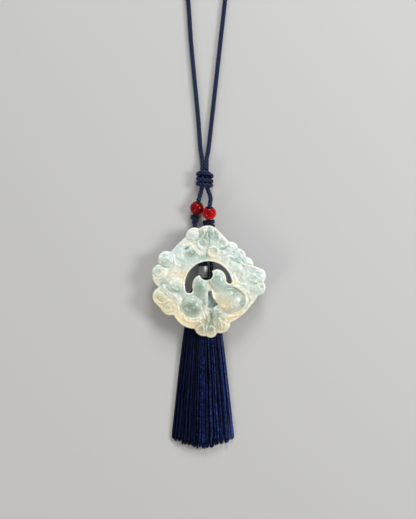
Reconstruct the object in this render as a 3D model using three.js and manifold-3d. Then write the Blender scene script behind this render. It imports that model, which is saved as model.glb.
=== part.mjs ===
// A jade bag charm that lies on its back: a carved jade plaque with an arched slot, a doubled cord with
// a wrapped knot and two red beads, and a tassel under a silver sleeve. Millimetres, +Z up, cord to +Y.
import * as THREE from 'three';
import { mergeVertices } from 'three/addons/utils/BufferGeometryUtils.js';
import Module from 'manifold-3d';

const wasm = await Module();
wasm.setup();

// Driving dimensions
const PLAQUE_WIDTH = 49;
const PLAQUE_THICKNESS = 6;
const SLAB_THICKNESS = 3.4;
const SLAB_BEVEL = 0.9;
const RECESS_FLOOR = 0.9;
const CORD_DIAMETER = 2;
const FIT_GAP = 0.3;
const STRANDS_APART = 0.3;
const BORE_CLEARANCE = 0.4;
const BEAD_DIAMETER = 6;
const BEADS_APART = 5.7;
const WRAP_TURNS = 3;
const WRAP_WIDTH = 8;
const WRAP_HEIGHT = 5.9;
const WRAP_SLANT = -0.05;
const LEFT_KNOT = { width: 4, height: 3.4, length: 2.2 };
const RIGHT_KNOT = { width: 5.4, height: 3.2, length: 2.6 };
const SLEEVE_DIAMETER = 5.4;
const SLEEVE_LENGTH = 5;
const SLEEVE_WALL = 0.4;
const TIE_DIAMETER = 1.5;
const TASSEL_LENGTH = 76.5;
const TASSEL_WIDTH = 27;
const TASSEL_THICKNESS = 5.2;
const TASSEL_CORNER_RISE = 4.6;

// Places on the plaque's own plan, whose middle is the charm's x = 0, y = 0
const SLEEVE_MIDDLE = new THREE.Vector2(-2.6, 4.1);
const WRAP_MIDDLE = new THREE.Vector2(-1.84, 43.6);
const LEFT_BEAD_PLACE = new THREE.Vector2(-5.15, 31.46);
const BEAD_LINE = new THREE.Vector2(0.93, -0.37).normalize();
const LEFT_BORE_LINE = new THREE.Vector3(0.21, 0.95, 0.23).normalize();
const RIGHT_BORE_LINE = new THREE.Vector3(0.04, 0.89, 0.455).normalize();

const cordRadius = CORD_DIAMETER / 2;
const beadRadius = BEAD_DIAMETER / 2;
const sleeveRadius = SLEEVE_DIAMETER / 2;
const plaqueLift = Math.max(SLEEVE_DIAMETER, TASSEL_THICKNESS) + FIT_GAP;

// The plaque's edge, clockwise from the notch left of the top petal. Each row starts an arc: its place
// and how far the arc to the next row bulges out, all as shares of half the plaque's width.
const EDGE = [
  [-0.173, 0.928, 0.045], [0.11, 0.943, 0.005], [0.35, 0.695, 0.041], [0.513, 0.583, 0.037],
  [0.649, 0.43, 0.049], [0.773, 0.272, 0.006], [0.904, 0.226, 0.031], [0.998, 0.098, 0.012],
  [0.958, -0.012, 0.082], [0.86, -0.245, 0.024], [0.667, -0.461, 0.037], [0.372, -0.722, 0.078],
  [0.142, -0.901, 0.057], [-0.049, -0.955, 0.049], [-0.249, -0.833, 0.065], [-0.616, -0.585, 0.053],
  [-0.833, -0.477, 0.004], [-0.955, -0.363, 0.069], [-0.874, -0.101, 0.037], [-0.998, 0.141, 0.041],
  [-0.87, 0.302, 0.118], [-0.67, 0.516, 0.012], [-0.411, 0.775, 0.082],
];

// The arched slot in the same shares: its arc, and how its two ends are rounded
const SLOT = { x: -0.007, y: -0.06, radius: 0.416 };
const SLOT_LEFT_END = { x: -0.347, y: -0.147, across: 0.067, along: 0.061 };
const SLOT_RIGHT_END = { x: 0.36, y: -0.002, across: 0.045, along: 0.039 };
const SLOT_NECK = { x: -0.045, y: 0.12, across: 0.114, along: 0.098 };
const SLOT_WEB = { x: -0.016, y: -0.1, across: 0.12, along: 0.12 };

// Swellings of the carving: place, half-sizes along and across, turn in degrees and crest as a share of
// the plaque's full thickness. The two gourds come first, small lobe then large lobe.
const LEFT_GOURD = [[-0.147, -0.086, 0.145, 0.196, 0, 0.93], [-0.302, -0.424, 0.188, 0.188, 0, 1]];
const RIGHT_GOURD = [[0.143, 0.024, 0.163, 0.188, 0, 0.93], [0.376, -0.335, 0.245, 0.224, 0, 1]];
const PETALS = [
  [-0.037, 0.788, 0.155, 0.165, 0, 0.8], [-0.286, 0.792, 0.12, 0.118, 30, 0.78],
  [-0.743, 0.38, 0.143, 0.155, 0, 0.8], [-0.84, 0.11, 0.143, 0.18, 0, 0.78],
  [-0.824, -0.265, 0.137, 0.151, 0, 0.78], [-0.706, -0.445, 0.147, 0.126, 0, 0.74],
  [0.392, 0.563, 0.118, 0.102, -40, 0.72], [0.53, 0.44, 0.11, 0.106, -45, 0.74],
  [0.665, 0.295, 0.106, 0.11, 0, 0.76], [0.845, 0.075, 0.139, 0.147, 0, 0.8],
  [0.83, -0.125, 0.131, 0.114, 0, 0.76], [-0.118, -0.82, 0.122, 0.118, 0, 0.76],
  [0.049, -0.857, 0.102, 0.11, 0, 0.78], [0.241, -0.759, 0.137, 0.124, 20, 0.76],
];
const LEAVES = [
  [0.63, -0.47, 0.204, 0.061, 49, 0.72], [-0.424, -0.637, 0.216, 0.078, -34, 0.72],
  [-0.53, 0.565, 0.2, 0.065, 48, 0.72], [0.235, 0.72, 0.18, 0.069, -46, 0.72],
  [-0.588, -0.053, 0.184, 0.159, 15, 0.76], [-0.51, 0.33, 0.18, 0.13, 20, 0.72],
  [-0.33, 0.535, 0.139, 0.106, 55, 0.76], [0.57, -0.15, 0.212, 0.078, -35, 0.78],
  [0.47, 0.265, 0.163, 0.122, -50, 0.74], [0.64, 0.09, 0.147, 0.118, 0, 0.72],
  [0.22, 0.5, 0.1, 0.08, -30, 0.72], [-0.016, 0.73, 0.022, 0.18, 0, 0.86],
  [0.086, -0.6, 0.049, 0.139, 10, 0.8], [-0.2, -0.68, 0.12, 0.06, 30, 0.72],
  [-0.55, -0.3, 0.13, 0.075, -50, 0.74], [0.3, -0.62, 0.15, 0.06, 10, 0.74],
];
// Curled tendrils: place, ring radius and half the tendril's thickness, as shares of half the width
const CURLS = [[-0.122, 0.67, 0.078, 0.026], [0.078, 0.52, 0.094, 0.029], [0.14, -0.445, 0.061, 0.022]];
// Deep hollows, as corners in the same shares: between the gourds, and the slit in the left shoulder
const HOLLOWS = [
  [[-0.012, -0.168], [-0.028, -0.455], [0.037, -0.483], [0.166, -0.402], [0.065, -0.273], [0.042, -0.164]],
  [[-0.443, 0.542], [-0.409, 0.596], [-0.325, 0.623], [-0.36, 0.569]],
];

// Tassel stations from its neck to its cut end: place along, half width as a share of the cut end's,
// and how flat it lies, where 0 is a round neck and 1 is thread spread on the surface
const TASSEL_STATIONS = [
  [0, 0.15, 0], [0.056, 0.15, 0], [0.068, 0.28, 0.3], [0.1, 0.39, 0.8], [0.16, 0.46, 1],
  [0.32, 0.6, 1], [0.55, 0.77, 1], [0.78, 0.91, 1], [0.93, 0.99, 1], [1, 1, 1],
];
const TASSEL_END_THICKNESS = 3;

// The cord from the sleeve through the left bead and round the hanging loop, back to the sleeve
const CORD_POINTS = [
  [-3.63, 5.4, 2.7], [-3.66, 7.4, 2.7], [-4.4, 14, 3], [-5.5, 22.4, 2], [-6.38, 25.4, 1.6],
  [-6.07, 27.28, 1.99], [-5.15, 31.46, 3], [-4.31, 35.3, 3.9], [-3.7, 37.4, 3.7], [-3.1, 39.8, 3.05],
  [-2.94, 42, 2.95], [-2.9, 48.5, 2.7], [-3.1, 52.5, 1.7], [-3.56, 56.34, 1.1], [-4.5, 69.1, 1.05],
  [-7.7, 103.4, 1.05], [-8.7, 118.4, 1.05], [-9.9, 132, 1.05], [-9.3, 142, 1.05], [-5.6, 148.6, 1.05],
  [0.2, 150.2, 1.05], [5.6, 147, 1.05], [8.2, 140, 1.05], [8, 131, 1.05], [6.68, 118.4, 1.05],
  [5, 103.4, 1.05], [1.2, 69.1, 1.05], [-0.26, 56.34, 1.1], [-0.66, 52.5, 1.7], [-0.76, 48.5, 2.7],
  [-0.74, 42, 2.95], [-0.6, 39.8, 3.1], [0.3, 37.4, 4.2], [0.75, 35.4, 6], [0.4, 32.9, 7.2],
  [0.15, 29.4, 5.6], [-0.02, 25.2, 3.4], [-0.7, 14, 3], [-1.54, 7.4, 2.7], [-1.57, 5.4, 2.7],
];
const CORD_STEPS = 78;
// The short tie beside the sleeve, ending in a nub under it
const TIE_POINTS = [[0.6, 9.4, 2.6], [1.05, 7, 3.5], [1.1, 4.2, 3.7], [1.1, 2, 3.7], [0.4, 0.8, 3.7]];

const COLOURS = {
  jade: 0xdfe9dd, cord: 0x141a3a, bead: 0xc4121c, sleeve: 0x9c9ca0, tassel: 0x12163a,
};

function finish(colour, roughness, metalness) {
  return new THREE.MeshStandardMaterial({ color: COLOURS[colour], roughness, metalness });
}

function solid(geometry) {
  const bare = geometry.clone();
  bare.deleteAttribute('normal');
  bare.deleteAttribute('uv');
  const merged = mergeVertices(bare, 1e-4);
  return new wasm.Manifold(new wasm.Mesh({
    numProp: 3,
    vertProperties: merged.attributes.position.array,
    triVerts: Uint32Array.from(merged.index.array),
  }));
}

function geometryOf(body) {
  const mesh = body.getMesh();
  const geometry = new THREE.BufferGeometry();
  geometry.setAttribute('position', new THREE.BufferAttribute(mesh.vertProperties, mesh.numProp));
  geometry.setIndex(new THREE.BufferAttribute(mesh.triVerts, 1));
  return geometry;
}

function piece(name, geometry, material) {
  const mesh = new THREE.Mesh(geometry, material);
  mesh.name = name;
  return mesh;
}

// Shares of half the plaque's width become millimetres
const half = PLAQUE_WIDTH / 2;

// Adds the arc from one edge row to the next: the chord and its bulge give the arc's middle and radius
function addBulgedArc(path, from, to, bulge) {
  const chord = to.clone().sub(from);
  const radius = (chord.lengthSq() / 4 + bulge * bulge) / (2 * bulge);
  const outward = new THREE.Vector2(-chord.y, chord.x).normalize();
  const middle = from.clone().add(to).multiplyScalar(0.5).addScaledVector(outward, bulge - radius);
  const start = Math.atan2(from.y - middle.y, from.x - middle.x);
  const end = Math.atan2(to.y - middle.y, to.x - middle.x);
  path.absarc(middle.x, middle.y, radius, start, end, true);
}

function plaqueOutline() {
  const outline = new THREE.Shape();
  const corners = EDGE.map(([x, y]) => new THREE.Vector2(x * half, y * half));
  outline.moveTo(corners[0].x, corners[0].y);
  EDGE.forEach(([, , bulge], i) => {
    addBulgedArc(outline, corners[i], corners[(i + 1) % corners.length], bulge * half);
  });
  return outline;
}

// A flat-topped cutter that runs from below the slab to above the crests
function prism(shape, bottom) {
  const height = PLAQUE_THICKNESS * 2 - bottom;
  const geometry = new THREE.ExtrudeGeometry(shape, { depth: height, bevelEnabled: false, curveSegments: 12 });
  return solid(geometry.translate(0, 0, bottom));
}

function ellipseShape({ x, y, across, along }) {
  const shape = new THREE.Shape();
  shape.absellipse(x * half, y * half, across * half, along * half, 0, 2 * Math.PI, false, 0);
  return shape;
}

// The slot is a disc, less the gourds' small lobes, the web between them and all below its two ends
function slotCutter() {
  const under = -PLAQUE_THICKNESS;
  const disc = { x: SLOT.x, y: SLOT.y, across: SLOT.radius, along: SLOT.radius };
  const lobes = [LEFT_GOURD[0], RIGHT_GOURD[0]].map(([x, y, across, along]) => ({ x, y, across, along }));
  lobes.push(SLOT_WEB);
  const reach = half * 2;
  const ends = [SLOT_LEFT_END, SLOT_RIGHT_END].map(({ x, y }) => new THREE.Vector2(x * half, y * half));
  const slope = ends[1].clone().sub(ends[0]).normalize();
  const below = new THREE.Shape([
    ends[0].clone().addScaledVector(slope, -reach), ends[0].clone().addScaledVector(slope, reach),
    new THREE.Vector2(reach, -reach), new THREE.Vector2(-reach, -reach),
  ]);
  let cutter = prism(ellipseShape(disc), under);
  lobes.forEach((lobe) => { cutter = cutter.subtract(prism(ellipseShape(lobe), under * 2)); });
  cutter = cutter.subtract(prism(below, under * 2));
  cutter = cutter.add(prism(ellipseShape(SLOT_LEFT_END), under));
  cutter = cutter.add(prism(ellipseShape(SLOT_RIGHT_END), under));
  return cutter.add(prism(ellipseShape(SLOT_NECK), under));
}

// One swelling: a dome whose crest reaches its share of the full thickness and whose shallow underside
// is sunk in the slab
function swelling([x, y, across, along, turn, crest], rounds, rows) {
  const seat = SLAB_THICKNESS * 0.6;
  const dome = new THREE.SphereGeometry(1, rounds, rows).rotateX(Math.PI / 2);
  const position = dome.attributes.position;
  for (let i = 0; i < position.count; i += 1) {
    const height = position.getZ(i);
    position.setZ(i, height > 0 ? height * (PLAQUE_THICKNESS * crest - seat) : height * seat * 0.7);
  }
  dome.scale(across * half, along * half, 1);
  dome.rotateZ(THREE.MathUtils.degToRad(turn)).translate(x * half, y * half, seat);
  return solid(dome);
}

function curl([x, y, ring, thickness]) {
  const tendril = new THREE.TorusGeometry(ring * half, thickness * half, 6, 14);
  return solid(tendril.translate(x * half, y * half, SLAB_THICKNESS + thickness * half * 0.4));
}

// The raised border that follows the slot's outer arc
function slotBorder() {
  const [fromAngle, sweep] = [-0.05, Math.PI * 1.13];
  const border = new THREE.TorusGeometry(SLOT.radius * half + 0.75, 0.8, 6, 30, sweep).rotateZ(fromAngle);
  return border.translate(SLOT.x * half, SLOT.y * half, SLAB_THICKNESS - 0.1);
}

function plaque() {
  const slab = new THREE.ExtrudeGeometry(plaqueOutline(), {
    depth: SLAB_THICKNESS - 2 * SLAB_BEVEL,
    bevelThickness: SLAB_BEVEL,
    bevelSize: SLAB_BEVEL,
    bevelOffset: -SLAB_BEVEL,
    bevelSegments: 2,
    curveSegments: 3,
  });
  let body = solid(slab.translate(0, 0, SLAB_BEVEL));
  PETALS.forEach((row) => { body = body.add(swelling(row, 14, 8)); });
  LEAVES.forEach((row) => { body = body.add(swelling(row, 12, 6)); });
  CURLS.forEach((row) => { body = body.add(curl(row)); });
  [...LEFT_GOURD, ...RIGHT_GOURD].forEach((row) => { body = body.add(swelling(row, 20, 10)); });
  HOLLOWS.forEach((corners) => {
    const shape = new THREE.Shape(corners.map(([x, y]) => new THREE.Vector2(x * half, y * half)));
    body = body.subtract(prism(shape, RECESS_FLOOR));
  });
  body = body.subtract(slotCutter());
  const mesh = piece('jade_plaque', geometryOf(body), finish('jade', 0.25, 0));
  mesh.position.z = plaqueLift;
  return mesh;
}

// Turns a solid that was made along Y, about its own middle, to lie along a given line
function alignTo(mesh, line) {
  mesh.quaternion.setFromUnitVectors(new THREE.Vector3(0, 1, 0), line);
}

// A bead is a ball bored along its axis, turned as one closed profile
function bead(name, centre, line) {
  const bore = cordRadius + BORE_CLEARANCE;
  const boreAngle = Math.asin(bore / beadRadius);
  const profile = [];
  const rows = 8;
  for (let i = 0; i <= rows; i += 1) {
    const angle = boreAngle + (Math.PI - 2 * boreAngle) * (i / rows);
    profile.push(new THREE.Vector2(Math.sin(angle) * beadRadius, -Math.cos(angle) * beadRadius));
  }
  profile.push(profile[0].clone());
  const mesh = piece(name, new THREE.LatheGeometry(profile, 16), finish('bead', 0.12, 0));
  alignTo(mesh, line);
  mesh.position.copy(centre);
  return mesh;
}

// A knot is a bored roll with one bulge for each turn, made along Y
function rollGeometry(width, length, turns, bulgeAngle, bore, rounds) {
  const profile = [new THREE.Vector2(bore, -length / 2)];
  const turnRadius = length / turns / 2;
  const stepsPerTurn = 4;
  for (let turn = 0; turn < turns; turn += 1) {
    const middle = -length / 2 + turnRadius * (2 * turn + 1);
    for (let i = turn ? 1 : 0; i <= stepsPerTurn; i += 1) {
      const angle = THREE.MathUtils.lerp(-bulgeAngle, bulgeAngle, i / stepsPerTurn);
      const rise = turnRadius * (Math.cos(angle) - 1);
      const edge = Math.sin(angle) / Math.sin(bulgeAngle);
      profile.push(new THREE.Vector2(width / 2 + rise, middle + turnRadius * edge));
    }
  }
  profile.push(new THREE.Vector2(bore, length / 2), profile[0].clone());
  return new THREE.LatheGeometry(profile, rounds);
}

function wrapKnot() {
  const flatten = WRAP_HEIGHT / WRAP_WIDTH;
  const boreAcross = CORD_DIAMETER + STRANDS_APART / 2 + BORE_CLEARANCE;
  const boreHigh = cordRadius + BORE_CLEARANCE;
  const bore = Math.max(boreAcross, boreHigh / flatten);
  const turns = rollGeometry(WRAP_WIDTH, WRAP_TURNS * (CORD_DIAMETER + 0.1), WRAP_TURNS, 1, bore, 18);
  turns.scale(1, 1, flatten);
  turns.applyMatrix4(new THREE.Matrix4().makeShear(WRAP_SLANT, 0, 0, 0, 0, 0));
  const mesh = piece('wrap_knot', turns, finish('cord', 0.7, 0));
  mesh.position.set(WRAP_MIDDLE.x, WRAP_MIDDLE.y, WRAP_HEIGHT / 2);
  return mesh;
}

// A small knot under a bead: its outside is flattened, its round bore isn't
function stopperKnot(name, { width, height, length }, beadCentre, line) {
  const bore = cordRadius + FIT_GAP;
  const roll = rollGeometry(width, length, 1, 0.6, bore, 14);
  const position = roll.attributes.position;
  for (let i = 0; i < position.count; i += 1) {
    const [x, z] = [position.getX(i), position.getZ(i)];
    if (Math.hypot(x, z) > bore + FIT_GAP / 10) position.setZ(i, z * (height / width));
  }
  const mesh = piece(name, roll, finish('cord', 0.7, 0));
  alignTo(mesh, line);
  const away = beadRadius + length / 2 + FIT_GAP;
  mesh.position.copy(beadCentre).addScaledVector(line, -away);
  return mesh;
}

function ringShape(radius, sides) {
  const points = [];
  for (let i = 0; i < sides; i += 1) {
    const angle = (i + 0.5) * 2 * Math.PI / sides;
    points.push(new THREE.Vector2(radius * Math.cos(angle), radius * Math.sin(angle)));
  }
  return new THREE.Shape(points);
}

function tube(name, points, diameter, sides, steps) {
  const places = points.map((point) => new THREE.Vector3(...point));
  const path = new THREE.CatmullRomCurve3(places, false, 'centripetal');
  const geometry = new THREE.ExtrudeGeometry(ringShape(diameter / 2, sides), { steps, extrudePath: path });
  return piece(name, geometry, finish('cord', 0.7, 0));
}

// The sleeve is an open tube that lies along Y on the surface
function sleeve() {
  const inner = sleeveRadius - SLEEVE_WALL;
  const rim = SLEEVE_WALL / 3;
  const end = SLEEVE_LENGTH / 2;
  const profile = [
    [inner, -end], [sleeveRadius - rim, -end], [sleeveRadius, -end + rim], [sleeveRadius, end - rim],
    [sleeveRadius - rim, end], [inner, end], [inner, -end],
  ].map(([x, y]) => new THREE.Vector2(x, y));
  const mesh = piece('tassel_sleeve', new THREE.LatheGeometry(profile, 24), finish('sleeve', 0.35, 1));
  mesh.position.set(SLEEVE_MIDDLE.x, SLEEVE_MIDDLE.y, sleeveRadius);
  return mesh;
}

// Reads the tassel's station table at a place along it, from 0 at the neck to 1 at the cut end
function tasselAt(place) {
  const next = Math.max(1, TASSEL_STATIONS.findIndex(([along]) => along >= place - 1e-6));
  const [a, b] = [TASSEL_STATIONS[next - 1], TASSEL_STATIONS[next]];
  const share = (place - a[0]) / (b[0] - a[0]);
  return [THREE.MathUtils.lerp(a[1], b[1], share), THREE.MathUtils.lerp(a[2], b[2], share)];
}

// The tassel is a unit cylinder whose rings are spread: round in the sleeve, then flat on the surface
function tassel() {
  const neckRadius = sleeveRadius - SLEEVE_WALL - FIT_GAP;
  const neckTop = SLEEVE_MIDDLE.y + SLEEVE_LENGTH * 0.05;
  const last = TASSEL_STATIONS.length - 1;
  const geometry = new THREE.CylinderGeometry(1, 1, 1, 22, last);
  const position = geometry.attributes.position;
  for (let i = 0; i < position.count; i += 1) {
    const station = Math.round((0.5 - position.getY(i)) * last);
    const place = TASSEL_STATIONS[station][0];
    const [widthShare, flat] = tasselAt(place);
    const [ringX, ringZ] = [position.getX(i), position.getZ(i)];
    const spread = Math.max(neckRadius, widthShare * TASSEL_WIDTH / 2);
    const halfWidth = flat === 0 ? neckRadius : spread;
    const top = THREE.MathUtils.lerp(TASSEL_THICKNESS, TASSEL_END_THICKNESS, place);
    const flatMiddle = top * 0.3;
    const middle = THREE.MathUtils.lerp(sleeveRadius, flatMiddle, flat);
    const rise = THREE.MathUtils.lerp(neckRadius, top - flatMiddle, flat);
    const cut = TASSEL_CORNER_RISE * ringX * ringX * place ** 8;
    const height = Math.max(0, middle + ringZ * rise);
    position.setXYZ(i, ringX * halfWidth, neckTop - TASSEL_LENGTH * place + cut, height);
  }
  const mesh = piece('tassel', geometry, finish('tassel', 0.8, 0));
  mesh.position.x = SLEEVE_MIDDLE.x;
  return mesh;
}

const leftBead = new THREE.Vector3(LEFT_BEAD_PLACE.x, LEFT_BEAD_PLACE.y, beadRadius);
const beadRise = Math.sqrt(Math.max(0, (BEAD_DIAMETER + FIT_GAP) ** 2 - BEADS_APART ** 2));
const rightBead = new THREE.Vector3(
  leftBead.x + BEAD_LINE.x * BEADS_APART, leftBead.y + BEAD_LINE.y * BEADS_APART, beadRadius + beadRise,
);

const charm = new THREE.Group();
charm.add(
  plaque(),
  wrapKnot(),
  bead('left_bead', leftBead, LEFT_BORE_LINE),
  bead('right_bead', rightBead, RIGHT_BORE_LINE),
  stopperKnot('left_stopper_knot', LEFT_KNOT, leftBead, LEFT_BORE_LINE),
  stopperKnot('right_stopper_knot', RIGHT_KNOT, rightBead, RIGHT_BORE_LINE),
  sleeve(),
  tassel(),
  tube('sleeve_tie', TIE_POINTS, TIE_DIAMETER, 8, 12),
);

// The origin is under the middle of everything but the cord, on the surface that the charm lies on
const box = new THREE.Box3().setFromObject(charm, true);
const middle = box.getCenter(new THREE.Vector3());
charm.add(tube('hanging_cord', CORD_POINTS, CORD_DIAMETER, 8, CORD_STEPS));
charm.position.set(-middle.x, -middle.y, -box.min.z);
charm.updateMatrixWorld(true);

export default charm;
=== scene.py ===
import math
import random

import bpy
import numpy as np
from mathutils import Matrix, Vector, kdtree


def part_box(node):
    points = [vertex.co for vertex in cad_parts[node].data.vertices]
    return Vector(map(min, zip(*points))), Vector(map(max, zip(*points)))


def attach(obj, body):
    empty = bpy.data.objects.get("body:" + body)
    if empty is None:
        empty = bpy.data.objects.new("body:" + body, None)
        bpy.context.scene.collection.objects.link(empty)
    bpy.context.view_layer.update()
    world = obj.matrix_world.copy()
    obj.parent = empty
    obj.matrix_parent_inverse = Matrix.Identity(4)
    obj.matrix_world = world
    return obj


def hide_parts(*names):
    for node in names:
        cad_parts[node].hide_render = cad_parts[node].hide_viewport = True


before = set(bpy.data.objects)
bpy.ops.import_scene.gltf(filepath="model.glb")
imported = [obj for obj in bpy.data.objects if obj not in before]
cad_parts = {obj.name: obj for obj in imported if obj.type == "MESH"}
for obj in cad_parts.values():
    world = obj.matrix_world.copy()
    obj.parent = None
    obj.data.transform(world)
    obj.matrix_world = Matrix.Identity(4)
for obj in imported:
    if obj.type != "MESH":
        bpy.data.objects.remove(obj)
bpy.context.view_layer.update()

# The plan that the charm is drawn on: millimetres from the middle of the jade, with the cord to +Y.
# The sleeve's middle is at (-2.6, 4.1) on it, which ties the plan to the construction.
MM = 0.001
SLEEVE_ON_PLAN = (-2.6, 4.1)
sleeve_low, sleeve_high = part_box("tassel_sleeve")
plan_x = (sleeve_low[0] + sleeve_high[0]) / 2 - SLEEVE_ON_PLAN[0] * MM
plan_y = (sleeve_low[1] + sleeve_high[1]) / 2 - SLEEVE_ON_PLAN[1] * MM


def on_plan(x, y, z=0.0):
    """A place on the plan as a place in the frame, in metres."""
    return Vector((plan_x + x * MM, plan_y + y * MM, z * MM))


# Camera. It looks straight down on the charm, which lies with its cord towards the top of the picture.
# A long lens keeps the view as flat as the one the charm was seen in.
CAMERA_DISTANCE = 1.5
VIEW_HEIGHT = 222.4
VIEW_MIDDLE = (-0.39, 9.39)
PLAQUE_LEVEL = 8.0
SENSOR = 36.0

bpy.ops.object.camera_add(location=on_plan(*VIEW_MIDDLE, PLAQUE_LEVEL) + Vector((0, 0, CAMERA_DISTANCE)))
camera = bpy.context.object
camera.name = "view_from_above"
camera.data.sensor_fit = "VERTICAL"
camera.data.sensor_height = SENSOR
camera.data.lens = SENSOR * CAMERA_DISTANCE / (VIEW_HEIGHT * MM)
camera.data.clip_end = 10
bpy.context.scene.camera = camera


# Hanging cord: one length of round navy cord, braided from eight flat bundles of silky thread. It starts
# in the sleeve, runs behind the jade, through the left bead and the wrap knot, round the loop that hangs
# the charm, and back through the knot and the right bead.
CORD_ROUTE = [
    (-3.63, 5.4, 2.7), (-3.66, 7.4, 2.7), (-4.4, 14, 3), (-5.5, 22.4, 2), (-6.38, 25.4, 1.6),
    (-6.07, 27.28, 1.99), (-5.15, 31.46, 3), (-4.31, 35.3, 3.9), (-3.7, 37.4, 3.7), (-3.1, 39.8, 3.05),
    (-2.84, 42, 2.95), (-2.8, 48.5, 2.5), (-2.95, 52.5, 1.5), (-3.56, 56.34, 1.1), (-4.5, 69.1, 1.05),
    (-7.7, 103.4, 1.05), (-8.7, 118.4, 1.05), (-9.9, 132, 1.05), (-9.3, 142, 1.05), (-5.6, 148.6, 1.05),
    (0.2, 150.2, 1.05), (5.6, 147, 1.05), (8.2, 140, 1.05), (8, 131, 1.05), (6.68, 118.4, 1.05),
    (5, 103.4, 1.05), (1.2, 69.1, 1.05), (-0.26, 56.34, 1.1), (-0.95, 52.5, 1.95), (-0.98, 48.5, 3.2),
    (-0.86, 42, 2.95), (-0.6, 39.8, 3.1), (0.3, 37.4, 4.2), (0.75, 35.4, 6), (0.4, 32.9, 7.2),
    (0.15, 29.4, 5.6), (-0.02, 25.2, 3.4), (-0.7, 14, 3), (-1.54, 7.4, 2.7), (-1.57, 5.4, 2.7),
]
CORD_DIAMETER = 2.0
CORD_LAY = 3.4 * CORD_DIAMETER
CORD_LINE_SPACING = 1.5
# The braid's bundles. Their weave, height and width are shares of the cord's radius.
BUNDLES_EACH_WAY = 4
BUNDLE_WEAVE = 0.09
BUNDLE_HALF_HEIGHT = 0.24
BUNDLE_HALF_WIDTH = 0.43
BUNDLE_SIDES = 6
CORE_SHARE = 0.86
CORE_SIDES = 8
GLINT_SHARPNESS = 4


def smooth_route(points, spacing, between=12):
    """An evenly spaced smooth curve through the points, and how far along it each place is. The curve is
    centripetal, so that it doesn't overshoot, and is first worked out at some places between two points."""
    p = np.array(points, dtype=float)
    p = np.vstack([2 * p[0] - p[1], p, 2 * p[-1] - p[-2]])
    fine = []
    for a, b, c, d in zip(p, p[1:], p[2:], p[3:]):
        k0 = 0.0
        k1 = k0 + math.sqrt(np.linalg.norm(b - a))
        k2 = k1 + math.sqrt(np.linalg.norm(c - b))
        k3 = k2 + math.sqrt(np.linalg.norm(d - c))
        for t in np.linspace(k1, k2, between, endpoint=False):
            ab = a * (k1 - t) / (k1 - k0) + b * (t - k0) / (k1 - k0)
            bc = b * (k2 - t) / (k2 - k1) + c * (t - k1) / (k2 - k1)
            cd = c * (k3 - t) / (k3 - k2) + d * (t - k2) / (k3 - k2)
            abc = ab * (k2 - t) / (k2 - k0) + bc * (t - k0) / (k2 - k0)
            bcd = bc * (k3 - t) / (k3 - k1) + cd * (t - k1) / (k3 - k1)
            fine.append(abc * (k2 - t) / (k2 - k1) + bcd * (t - k1) / (k2 - k1))
    fine.append(p[-2])
    fine = np.array(fine)
    along = np.concatenate([[0], np.cumsum(np.linalg.norm(np.diff(fine, axis=0), axis=1))])
    count = max(2, int(round(along[-1] / spacing))) + 1
    even = np.linspace(0, along[-1], count)
    return np.column_stack([np.interp(even, along, fine[:, k]) for k in range(3)]), even


def carried_axes(route):
    """Two sideways directions at each point of a route, carried along it without twisting."""
    tangent = np.gradient(route, axis=0)
    tangent /= np.linalg.norm(tangent, axis=1)[:, None]
    side = np.zeros_like(route)
    start = np.cross(tangent[0], (0.0, 0.0, 1.0))
    side[0] = start / np.linalg.norm(start)
    for i in range(1, len(route)):
        carried = side[i - 1] - tangent[i] * np.dot(side[i - 1], tangent[i])
        side[i] = carried / np.linalg.norm(carried)
    return side, np.cross(tangent, side)


def tube_rings(centres, out, sideways, half_high, half_wide, sides):
    """Rings of an oval tube: out is its short way, sideways its wide way."""
    angles = np.linspace(0, 2 * math.pi, sides, endpoint=False)
    return (centres[:, None, :]
            + out[:, None, :] * (half_high * np.cos(angles))[None, :, None]
            + sideways[:, None, :] * (half_wide * np.sin(angles))[None, :, None])


def tube_faces(rings, sides, first):
    """The side faces and the two end faces of a tube whose first vertex is numbered first."""
    i, k = np.meshgrid(np.arange(rings - 1), np.arange(sides), indexing="ij")
    near = first + i * sides
    quads = np.stack([near + k, near + (k + 1) % sides,
                      near + sides + (k + 1) % sides, near + sides + k], axis=-1).reshape(-1, 4)
    ends = [[first + n for n in reversed(range(sides))],
            [first + (rings - 1) * sides + n for n in range(sides)]]
    return quads.tolist() + ends


def face_outward(piece):
    """Makes a piece the active one and turns all its faces outward."""
    bpy.ops.object.select_all(action="DESELECT")
    piece.select_set(True)
    bpy.context.view_layer.objects.active = piece
    bpy.ops.object.mode_set(mode="EDIT")
    bpy.ops.mesh.select_all(action="SELECT")
    bpy.ops.mesh.normals_make_consistent(inside=False)
    bpy.ops.object.mode_set(mode="OBJECT")


def mesh_piece(name, tubes):
    """One object out of several tubes. Each is given as its rings, in millimetres on the plan, and how
    brightly the thread shines at each ring."""
    vertices, faces, shine, first = [], [], [], 0
    for rings, glint in tubes:
        count, sides = rings.shape[:2]
        vertices.append(rings.reshape(-1, 3))
        shine.append(np.repeat(glint, sides))
        faces += tube_faces(count, sides, first)
        first += count * sides
    flat = np.vstack(vertices) * MM + np.array([plan_x, plan_y, 0.0])
    mesh = bpy.data.meshes.new(name)
    mesh.from_pydata(flat.tolist(), [], faces)
    mesh.update()
    mesh.attributes.new("glint", "FLOAT", "POINT").data.foreach_set("value", np.concatenate(shine))
    piece = bpy.data.objects.new(name, mesh)
    bpy.context.collection.objects.link(piece)
    face_outward(piece)
    bpy.ops.object.shade_smooth()
    return piece


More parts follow.
